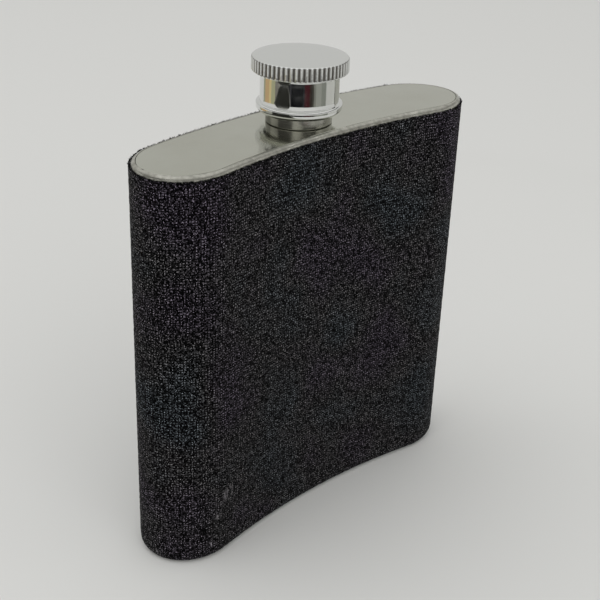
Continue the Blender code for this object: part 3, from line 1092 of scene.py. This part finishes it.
@dataclass
class GlitterSleeve:
    """Sheet of glitter cloth glued round the wall, its two ends butted down the middle of the back.

    Attributes:
        outline: The steel wall's outline.
        plate_top: Height of the top plate's upper face.
    """

    outline: KidneyOutline
    plate_top: float
    gap: float = 0.1 * MM
    thickness: float = 0.3 * MM
    foot_radius: float = 2.3 * MM
    foot_angle: float = math.radians(55.0)
    rim_radius: float = 1.1 * MM
    front_drop: float = 1.15 * MM
    back_drop: float = 0.4 * MM
    fray: float = 0.5 * MM
    slub: float = 0.03 * MM
    butt_gap: float = 0.04 * MM
    column_pitch: float = 0.36 * MM
    row_pitch: float = 0.72 * MM
    cloth: GlitterWeave = GlitterWeave("woven_glitter_cloth", "glitter_fabric")
    film: Finish = MetallisedFilm("metallised_film_flakes", "glitter_fabric")
    cut_film: Finish = MetallisedFilm("cut_thread_ends", "glitter_fabric", bright="232225")
    grains: int = 15000
    edge_ends: int = 1900
    stray_flakes: int = 1500
    seed: int = 7

    def build(self) -> None:
        """Build the sheet, its proud grains, its cut edge and the flakes that it has shed."""
        self.build_sheet()
        self.build_grains()
        self.build_cut_edge()
        self.build_stray_flakes()

    def drop(self, out: np.ndarray) -> np.ndarray:
        """Return how far below the top the cut edge lies, for normals out of the wall."""
        backness = np.clip(0.5 + 0.5 * out[:, 1], 0.0, 1.0) ** 2
        return self.front_drop + (self.back_drop - self.front_drop) * backness

    def lean(self, height: np.ndarray) -> np.ndarray:
        """Return how far the wall has leant in at a height, over the rounding of the rim."""
        over = np.clip(height - (self.plate_top - self.rim_radius), 0.0, self.rim_radius * 0.98)
        return self.rim_radius - np.sqrt(self.rim_radius ** 2 - over ** 2)

    def build_sheet(self) -> None:
        """Carry the cloth's thickness round the wall.

        The outer face goes from the cut top edge straight down and follows the foot's rounding,
        and the inner face comes back up the same way. Every vertex of the outer face is pushed in
        or out by its own small amount, and the cut top edge rises and falls thread by thread.
        """
        rng = np.random.default_rng(self.seed)
        girth = self.outline.length()
        columns = round(girth / self.column_pitch)
        margin = self.butt_gap / 2 / girth
        shares = np.linspace(margin, 1.0 - margin, columns)
        _, out = self.outline.at(shares)
        drop = self.drop(out) + self.fray * (rng.random(columns) - 0.6)
        outer_reach = self.gap + self.thickness
        bend = self.foot_radius + outer_reach
        wall_low = self.foot_radius
        rows = round((self.plate_top - self.front_drop - wall_low) / self.row_pitch)
        rise = np.linspace(1.0, 0.0, rows + 1)
        top = (self.plate_top - drop)[:, None]
        wall_heights = wall_low + (top - wall_low) * rise[None, :]
        arc = np.linspace(0.0, self.foot_angle, 6)[1:]
        lean = self.lean(wall_heights)
        outer_wall = np.stack([outer_reach - lean, wall_heights], axis=-1)
        foot_out = np.column_stack([
            bend * np.cos(arc) - self.foot_radius, self.foot_radius - bend * np.sin(arc),
        ])
        inner_bend = self.foot_radius + self.gap
        foot_in = np.column_stack([
            inner_bend * np.cos(arc) - self.foot_radius, self.foot_radius - inner_bend * np.sin(arc),
        ])[::-1]
        inner_rows = np.array([0, 1, 2, 4, 8, 20, 50, 90, rows])[::-1]
        inner_wall = np.stack([self.gap - lean, wall_heights], axis=-1)[:, inner_rows]
        repeat = np.ones((columns, 1, 1))
        outer = np.concatenate([outer_wall, foot_out[None] * repeat], axis=1)
        outer[:, 1:-1, 0] += self.slub * rng.standard_normal(outer[:, 1:-1, 0].shape).clip(-2.0, 2.0)
        inner = np.concatenate([foot_in[None] * repeat, inner_wall], axis=1)
        profile = np.concatenate([outer, inner], axis=1)
        points = self.outline.carried(profile, shares)
        count = profile.shape[1]
        level = np.ones((columns, 1))
        travelled = np.concatenate([
            wall_heights, wall_low - bend * arc[None, :] * level,
            wall_low - bend * arc[None, ::-1] * level, wall_heights[:, inner_rows],
        ], axis=1)
        along = np.repeat((shares * girth)[:, None], count, axis=1)
        uv = np.stack([along, travelled], axis=-1).reshape(-1, 2)
        first = np.arange(count)[None, :]
        last = first[:, ::-1] + (columns - 1) * count
        faces = [grid_faces(columns, count, False, True)[:, ::-1], first, last]
        sheet = make_piece(
            "glitter_sleeve", points.reshape(-1, 3), faces, self.cloth, Body.FLASK, uv=uv,
            sharp_angle=60.0,
        )
        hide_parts("glitter_wrap")

    def build_grains(self) -> None:
        """Scatter grains that stand a little proud of the cloth, each lying at its own tilt."""
        rng = np.random.default_rng(self.seed + 2)
        count = self.grains
        place, out = self.outline.at(rng.random(count))
        height = rng.uniform(2.4 * MM, self.plate_top - self.front_drop, count)
        reach = self.gap + self.thickness - 0.01 * MM
        centre = np.column_stack([place + out * reach, height])
        axis = np.column_stack([out, np.zeros(count)]) + 0.55 * rng.standard_normal((count, 3))
        axis /= np.linalg.norm(axis, axis=1, keepdims=True)
        radius = rng.uniform(0.06, 0.15, count) * MM
        verts, faces = double_pyramids(
            centre, axis, radius, radius * 0.35, radius * 0.6, rng.random(count) * TURN,
        )
        make_piece("glitter_grains", verts, [faces], self.film, Body.FLASK, smooth=False)

    def build_cut_edge(self) -> None:
        """Stand cut thread ends and flakes along the sleeve's top edge."""
        rng = np.random.default_rng(self.seed + 3)
        count = self.edge_ends
        place, out = self.outline.at(rng.random(count))
        height = self.plate_top - self.drop(out) - rng.uniform(-0.08, 0.3, count) * MM
        reach = self.gap + self.thickness * rng.uniform(0.3, 1.05, count) - self.lean(height)
        centre = np.column_stack([place + out * reach[:, None], height])
        axis = np.column_stack([out * 0.15, np.ones(count)]) + 0.4 * rng.standard_normal((count, 3))
        axis /= np.linalg.norm(axis, axis=1, keepdims=True)
        radius = rng.uniform(0.07, 0.16, count) * MM
        tip = rng.uniform(0.12, 0.5, count) * MM
        verts, faces = double_pyramids(centre, axis, radius, tip, radius, rng.random(count) * TURN)
        make_piece("sleeve_cut_edge", verts, [faces], self.cut_film, Body.FLASK, smooth=False)

    def build_stray_flakes(self) -> None:
        """Scatter shed flakes over the rim, thickest just above the cloth's cut edge."""
        rng = np.random.default_rng(self.seed + 1)
        count = self.stray_flakes
        place, out = self.outline.at(rng.random(count))
        angle = np.clip(np.abs(rng.normal(0.0, 0.55, count)), 0.05, 1.5)
        reach = self.rim_radius * (np.cos(angle) - 1.0)
        height = self.plate_top - self.rim_radius * (1.0 - np.sin(angle))
        centre = np.column_stack([place + out * reach[:, None], height])
        axis = np.column_stack([out * np.cos(angle)[:, None], np.sin(angle)])
        radius = rng.uniform(0.035, 0.1, count) * MM
        verts, faces = double_pyramids(
            centre, axis, radius, radius * 0.5, radius * 0.2, rng.random(count) * TURN,
        )
        make_piece("stray_glitter", verts, [faces], self.cut_film, Body.FLASK, smooth=False)


# ------------------------------------------------------------------ cap

@dataclass
class ScrewCap:
    """Chromed cap with a plastic liner and a silicone gasket. Heights are from the top plate.

    Attributes:
        axis: The neck's axis, as x and y.
        plate_top: Height of the top plate's upper face.
    """

    axis: tuple[float, float]
    plate_top: float
    foot: float = 2.5 * MM
    top: float = 14.4 * MM
    head_foot: float = 11.2 * MM
    head_radius: float = 10.57 * MM
    barrel_radius: float = 8.6 * MM
    bead_radius: float = 9.43 * MM
    bead_top: float = 4.62 * MM
    bore_radius: float = 8.05 * MM
    lip_radius: float = 7.6 * MM
    lip_height: float = 1.2 * MM
    roof: float = 1.0 * MM
    ridges: int = 60
    groove_radius: float = 0.56 * MM
    groove_depth: float = 0.28 * MM
    steps_per_ridge: int = 14
    liner_radius: float = 7.9 * MM
    liner_foot: float = 4.0 * MM
    liner_roof: float = 0.95 * MM
    liner_root: float = 7.35 * MM
    liner_crest: float = 6.8 * MM
    seam: float = 0.15 * MM
    gasket_radius: float = 6.95 * MM
    gasket_hole: float = 4.0 * MM
    gasket_thickness: float = 1.0 * MM
    neck_height: float = 11.0 * MM
    print_depth: float = 0.07 * MM
    print_radius: float = 6.05 * MM
    print_width: float = 0.4 * MM
    liner_steps: int = 160
    gasket_steps: int = 144
    thread: ScrewThread = ScrewThread(3.0 * MM, 1.63 * MM, 0.8 * MM, 2.9 * MM, 0.65, 1.75)
    chrome: Finish = ChromePlate("bright_chrome_plate", "chrome_plate")
    plastic: Finish = MouldedPlastic("moulded_polypropylene", "liner_plastic")
    silicone: Finish = Silicone("die_cut_silicone", "gasket_silicone")

    def build(self) -> None:
        """Build the shell, the liner and the gasket."""
        self.build_shell()
        self.build_liner()
        self.build_gasket()

    def build_shell(self) -> None:
        """Turned shell whose head is cut by straight round grooves.

        The radius is the smaller of the turned profile's and that of a grooved bar. The bar's
        radius at a distance x from the middle of a groove is R + g - d - sqrt(g^2 - x^2), where
        R is the head's radius, g the groove's own radius and d its depth. Averaging each radius with
        its neighbours then rounds the ridges between the grooves, as plating does.
        """
        lip_top = self.foot + self.lip_height
        drop = self.bead_top - self.foot
        profile = rounded_profile([
            (0.0, self.top, 0.0),
            (self.head_radius - 0.34 * MM, self.top, 0.12 * MM),
            (self.head_radius, self.top - 0.3 * MM, 0.12 * MM),
            (self.head_radius, self.head_foot + 0.34 * MM, 0.14 * MM),
            (self.head_radius - 0.36 * MM, self.head_foot, 0.14 * MM),
            (self.barrel_radius, self.head_foot, 0.15 * MM),
            (self.barrel_radius, self.bead_top, 0.16 * MM),
            (self.bead_radius - 0.25 * MM, self.bead_top - 0.03 * drop, 0.16 * MM),
            (self.bead_radius, self.bead_top - 0.16 * drop, 0.16 * MM),
            (self.bead_radius - 0.02 * MM, self.bead_top - 0.66 * drop, 0.24 * MM),
            (self.barrel_radius + 0.1 * MM, self.foot, 0.16 * MM),
            (self.lip_radius, self.foot, 0.1 * MM),
            (self.lip_radius, lip_top, 0.05 * MM),
            (self.bore_radius, lip_top, 0.05 * MM),
            (self.bore_radius, self.top - self.roof, 0.2 * MM),
            (0.0, self.top - self.roof, 0.0),
        ], steps=3)
        profile = subdivided(profile, 1.2 * MM)
        steps = self.ridges * self.steps_per_ridge
        phase = np.arange(steps) / self.steps_per_ridge % 1.0
        pitch = TURN * self.head_radius / self.ridges
        x = (phase - 0.5) * pitch
        chord = np.sqrt(np.clip(self.groove_radius ** 2 - x ** 2, 0.0, None))
        bar = self.head_radius + self.groove_radius - self.groove_depth - chord
        bar = np.minimum(bar, self.head_radius)
        for _ in range(2):
            bar = (np.roll(bar, 1) + 2.0 * bar + np.roll(bar, -1)) / 4.0
        radii = np.repeat(profile[:, :1], steps, axis=1)
        grooved = profile[:, 1] > self.head_foot - 0.01 * MM
        outer = np.cumsum(profile[:, 1] < self.foot + 0.2 * MM) == 0
        rows = grooved & outer
        radii[rows] = np.minimum(radii[rows], bar[None, :])
        verts, faces = turned_surface(radii, profile[:, 1] + self.plate_top, self.axis, False)
        reach = np.hypot(verts[:, 0] - self.axis[0], verts[:, 1] - self.axis[1])
        height = verts[:, 2] - self.plate_top
        side = (height > self.head_foot + 0.25 * MM) & (height < self.top - 0.2 * MM)
        # painted shade: the grip's grooves get darker chrome the deeper they go
        depth = np.clip((self.head_radius - reach) / self.groove_depth, 0.0, 1.0) ** 2
        groove_shade = np.where(side & (reach > self.bore_radius + 0.1 * MM), depth, 0.0)
        piece = make_piece(
            "chrome_cap_shell", verts, faces, self.chrome, Body.CAP, groove_shade=groove_shade, sharp_angle=65.0,
        )
        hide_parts("cap_shell")

    def build_liner(self) -> None:
        """Plastic cup with the cap's thread standing out of its inner wall."""
        top = self.top - self.roof - self.seam
        profile = rounded_profile([
            (0.0, top, 0.0),
            (self.liner_radius, top, 0.3 * MM),
            (self.liner_radius, self.liner_foot, 0.12 * MM),
            (self.liner_root, self.liner_foot, 0.12 * MM),
            (self.liner_root, top - self.liner_roof, 0.12 * MM),
            (0.0, top - self.liner_roof, 0.0),
        ])
        profile = subdivided(profile, 0.09 * MM)
        steps = self.liner_steps
        turns = np.arange(steps) * TURN / steps
        radii = np.repeat(profile[:, :1], steps, axis=1)
        share = self.thread.tooth(turns[None, :], profile[:, 1][:, None])
        wall = np.abs(profile[:, 0] - self.liner_root) < 0.01 * MM
        radii[wall] -= (self.liner_root - self.liner_crest) * share[wall]
        verts, faces = turned_surface(radii, profile[:, 1] + self.plate_top, self.axis, False)
        piece = make_piece("plastic_cap_liner", verts, faces, self.plastic, Body.CAP, sharp_angle=50.0)
        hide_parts("cap_liner")

    def build_gasket(self) -> None:
        """Silicone washer, with the shallow ring that the neck's lip has pressed into it."""
        low = self.neck_height + self.seam
        high = low + self.gasket_thickness
        corner = 0.12 * MM
        profile = rounded_profile([
            (self.gasket_hole, (low + high) / 2, 0.0),
            (self.gasket_hole, high, corner),
            (self.gasket_radius, high, corner),
            (self.gasket_radius, low, corner),
            (self.gasket_hole, low, corner),
            (self.gasket_hole, (low + high) / 2 - 0.01 * MM, 0.0),
        ])
        profile = subdivided(profile, 0.1 * MM)
        under = profile[:, 1] < low + 0.01 * MM
        away = (profile[under, 0] - self.print_radius) / self.print_width
        profile[under, 1] += self.print_depth * np.exp(-away ** 2)
        radii = np.repeat(profile[:, :1], self.gasket_steps, axis=1)
        verts, faces = turned_surface(radii, profile[:, 1] + self.plate_top, self.axis, True)
        piece = make_piece("silicone_gasket", verts, faces, self.silicone, Body.SEAL)
        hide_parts("cap_gasket")


# ------------------------------------------------------------------ studio

@dataclass(frozen=True)
class CardRow:
    """Upright cards side by side on a circle round the flask.

    Attributes:
        foot: Height of the cards' lower edge.
        head: Height of their upper edge.
        distance: Radius of the circle.
        bearings: Where each card starts and the last one ends, in degrees.
        colours: Each card's colour, or None for a gap.
    """

    foot: float
    head: float
    distance: float
    bearings: tuple[float, ...]
    colours: tuple[str | None, ...]


@dataclass
class Studio:
    """Pale table, soft lights, dark reflectors for the chrome, and the camera."""

    floor_half: float = 3.0
    floor_colour: str = "d9d9d7"
    card_steps: int = 24
    card_rows: tuple[CardRow, ...] = (
        CardRow(
            0.001, 0.031, 0.26,
            (103.0, 112.0, 130.0, 139.0, 153.0, 173.0, 190.0, 199.0, 203.0, 236.0, 241.0, 256.0,
             263.0, 268.0, 274.0, 292.0, 308.0, 345.0, 357.0, 400.0),
            ("b4b69d", "dab98d", "ebd6a1", "c1c09d", "918d85", "4f4a43", "0c0c0d", "47474b",
             "0b0d11", "2a2d30", "48141c", "37302a", "504e47", "8f9088", "adafa7", "989b93",
             "dededa", "adafa7", "cfcfca"),
        ),
        CardRow(
            0.34, 0.47, 0.6, (112.0, 158.0, 246.0, 280.0, 372.0),
            ("4a4a47", "3c3c3a", "a2a29e", "484846"),
        ),
        CardRow(0.2, 0.34, 0.6, (152.0, 206.0, 242.0, 290.0), ("30302e", None, "3c3c3a")),
    )
    camera_place: tuple[float, float, float] = (-0.17148, -0.17560, 0.17327)
    camera_bearing: float = 0.7763
    camera_dip: float = 0.4684
    camera_roll: float = 0.0369
    camera_lens: float = 70.6

    def build(self) -> None:
        """Set the stage, the lights and the camera."""
        self.build_floor()
        self.build_world()
        self.build_lights()
        self.build_reflectors()
        self.build_camera()

    def stage_material(self, name: str, colour: str, roughness: float) -> bpy.types.Material:
        """Make a plain material for the stage.

        Args:
            name: The material's name.
            colour: Its sRGB colour.
            roughness: Its roughness.

        Returns:
            The new material.
        """
        material = bpy.data.materials.new(name)
        material.use_nodes = True
        shader = material.node_tree.nodes["Principled BSDF"]
        shader.inputs["Base Color"].default_value = linear(colour)
        shader.inputs["Roughness"].default_value = roughness
        shader.inputs["Specular IOR Level"].default_value = 0.2
        return material

    def build_floor(self) -> None:
        """Pale matt table top."""
        half = self.floor_half
        mesh = bpy.data.meshes.new("table_top")
        corners = [(-half, -half, 0.0), (half, -half, 0.0), (half, half, 0.0), (-half, half, 0.0)]
        mesh.from_pydata(corners, [], [(0, 1, 2, 3)])
        mesh.materials.append(self.stage_material("matt_table", self.floor_colour, 0.6))
        floor = bpy.data.objects.new("table_top", mesh)
        bpy.context.scene.collection.objects.link(floor)

    def build_world(self) -> None:
        """Soft room light, brighter overhead than along the walls."""
        world = bpy.data.worlds.new("studio_room")
        bpy.context.scene.world = world
        world.use_nodes = True
        tree = world.node_tree
        background = tree.nodes["Background"]
        heading = add_node(tree, "ShaderNodeTexCoord").outputs["Generated"]
        height = add_node(tree, "ShaderNodeSeparateXYZ", None, {0: heading}).outputs[2]
        ramp = add_node(tree, "ShaderNodeValToRGB", None, {"Fac": height})
        stops = ramp.color_ramp.elements
        stops[0].position, stops[0].color = 0.0, linear("d2d2d1")
        stops[1].position, stops[1].color = 0.95, linear("ffffff")
        stops.new(0.4).color = linear("d6d6d3")
        stops.new(0.65).color = linear("e6e6e4")
        tree.links.new(ramp.outputs[0], background.inputs["Color"])
        background.inputs["Strength"].default_value = 0.92

    def area_light(
        self, name: str, place: tuple[float, float, float], size: float, power: float, colour: str
    ) -> None:
        """Hang a square soft light that faces the flask and shows in no mirror.

        Args:
            name: The light's name.
            place: Where it hangs.
            size: Length of its side.
            power: Its power in watts.
            colour: Its sRGB colour.
        """
        data = bpy.data.lights.new(name, "AREA")
        data.shape = "SQUARE"
        data.size = size
        data.energy = power
        data.color = linear(colour)[:3]
        light = bpy.data.objects.new(name, data)
        light.location = place
        light.visible_glossy = False
        aim = np.array([0.0, 0.0, 0.05]) - np.array(place)
        aim /= np.linalg.norm(aim)
        light.rotation_euler = (math.acos(-aim[2]), 0.0, math.atan2(aim[1], aim[0]) - math.pi / 2)
        bpy.context.scene.collection.objects.link(light)

    def build_lights(self) -> None:
        """One broad light from the left and behind, one weaker from the front left."""
        self.area_light("key_softbox", (-0.6, 0.3, 1.0), 1.0, 2.5, "ffffff")
        self.area_light("fill_softbox", (-0.3, -0.9, 0.7), 0.9, 2.4, "ffffff")

    def build_reflectors(self) -> None:
        """Stand up cards that only mirrors see, to give the chrome its bands.

        The low ones stand on the table near the flask. A wall of grey stands further out and
        higher on every side but the far one, and reaches lower in two places.
        """
        number = 0
        for row in self.card_rows:
            for start, stop, colour in zip(row.bearings[:-1], row.bearings[1:], row.colours):
                if colour is not None:
                    self.build_card(f"card_{number}", row, (start, stop), colour)
                    number += 1

    def build_card(
        self, name: str, row: CardRow, bearings: tuple[float, float], colour: str
    ) -> None:
        """Make one card: the point at bearing a is distance * (cos a, sin a).

        Args:
            name: The card's name.
            row: The row that it stands in.
            bearings: Where it starts and ends, in degrees.
            colour: Its sRGB colour.
        """
        angles = np.radians(np.linspace(*bearings, self.card_steps))
        ring = row.distance * np.column_stack([np.cos(angles), np.sin(angles)])
        low = np.column_stack([ring, np.full(len(ring), row.foot)])
        high = np.column_stack([ring, np.full(len(ring), row.head)])
        mesh = bpy.data.meshes.new(name)
        faces = grid_faces(2, len(ring), False, False)
        mesh.from_pydata(np.vstack([low, high]).tolist(), [], faces.tolist())
        mesh.materials.append(self.stage_material(name, colour, 0.9))
        card = bpy.data.objects.new(name, mesh)
        bpy.context.scene.collection.objects.link(card)
        card.visible_camera = False
        card.visible_diffuse = False
        card.visible_shadow = False

    def build_camera(self) -> None:
        """Camera an eighth of a turn round to the left, looking down on the flask."""
        data = bpy.data.cameras.new("camera")
        data.lens = self.camera_lens
        data.sensor_width = 36.0
        data.clip_start = 0.01
        camera = bpy.data.objects.new("camera", data)
        level = math.cos(self.camera_dip)
        forward = np.array([
            math.sin(self.camera_bearing) * level,
            math.cos(self.camera_bearing) * level,
            -math.sin(self.camera_dip),
        ])
        right = np.array([math.cos(self.camera_bearing), -math.sin(self.camera_bearing), 0.0])
        up = np.cross(right, forward)
        across = right * math.cos(self.camera_roll) + up * math.sin(self.camera_roll)
        above = up * math.cos(self.camera_roll) - right * math.sin(self.camera_roll)
        matrix = np.eye(4)
        matrix[:3, :3] = np.column_stack([across, above, -forward])
        matrix[:3, 3] = self.camera_place
        camera.matrix_world = Matrix(matrix.tolist())
        bpy.context.scene.collection.objects.link(camera)
        bpy.context.scene.camera = camera


def main() -> None:
    """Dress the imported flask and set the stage."""
    logging.basicConfig(level=logging.INFO, format="%(name)s: %(message)s")
    neck_low, neck_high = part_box("neck")
    axis = ((neck_low[0] + neck_high[0]) / 2, (neck_low[1] + neck_high[1]) / 2)
    wall_low, wall_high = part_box("body_wall")
    plate_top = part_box("top_plate")[1][2]
    outline = KidneyOutline(
        width=wall_high[0] - wall_low[0],
        thickness=20.9 * MM,
        mid_radius=180.6 * MM,
        end_length=12.3 * MM,
        axis_y=axis[1],
    )
    Vessel(outline, axis, plate_top).build()
    GlitterSleeve(outline, plate_top).build()
    ScrewCap(axis, plate_top).build()
    Studio().build()
    bpy.context.scene.view_settings.view_transform = "Standard"


if __name__ == "__main__":
    main()
